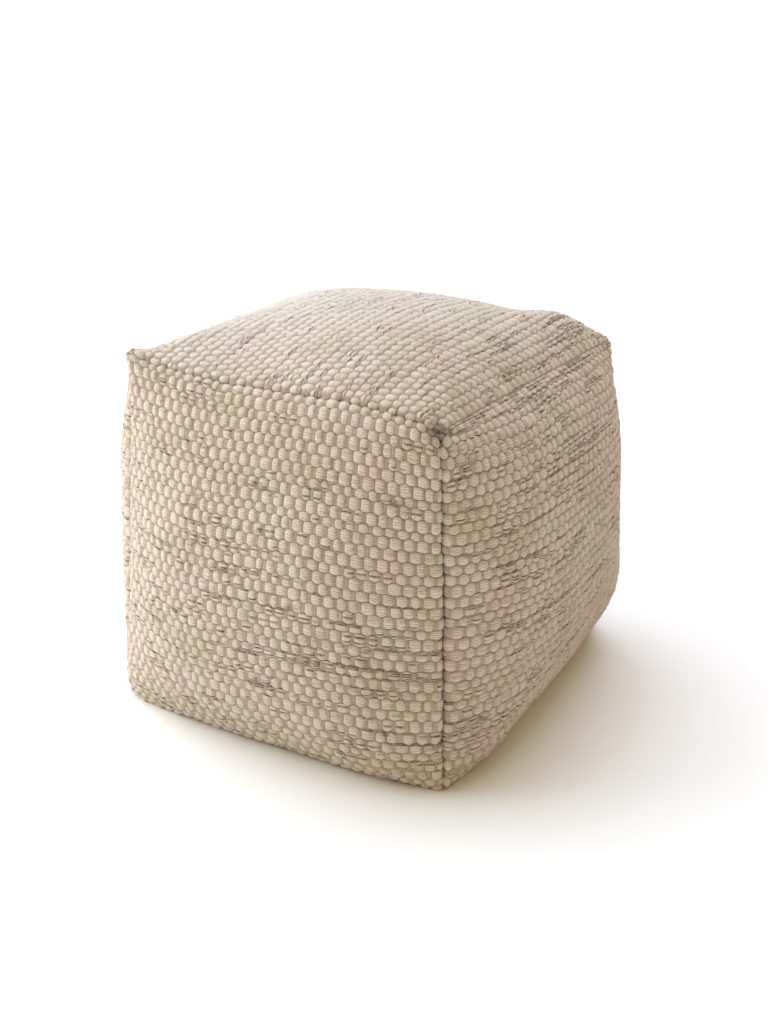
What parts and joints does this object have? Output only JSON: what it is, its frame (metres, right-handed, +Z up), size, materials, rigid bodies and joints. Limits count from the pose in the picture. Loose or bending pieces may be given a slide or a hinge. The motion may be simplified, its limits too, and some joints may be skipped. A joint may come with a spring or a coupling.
{
  "type": "cube pouf stool",
  "caption": "Soft filled cube pouf in thick pebbled handwoven cloth, with crowned faces, pinched panel seams and a flat base to stand on.",
  "frame": {"origin": "middle of the pouf's outside, on the surface it stands on", "axes": "+Z up, +X to the right along the front panel, -Y out of the front panel"},
  "size_m": [0.565, 0.5876, 0.4449],
  "materials": {
    "strip_cloth": "thick plain-woven wool in cream and beige with dark grey-brown flecks, matt",
    "panel_cloth": "thick plain-woven wool in cream and beige with dark grey-brown flecks, matt"
  },
  "bodies": {
    "root": {"boxing_strip": "strip_cloth", "front_panel": "panel_cloth", "back_panel": "panel_cloth"}
  },
  "joints": []
}
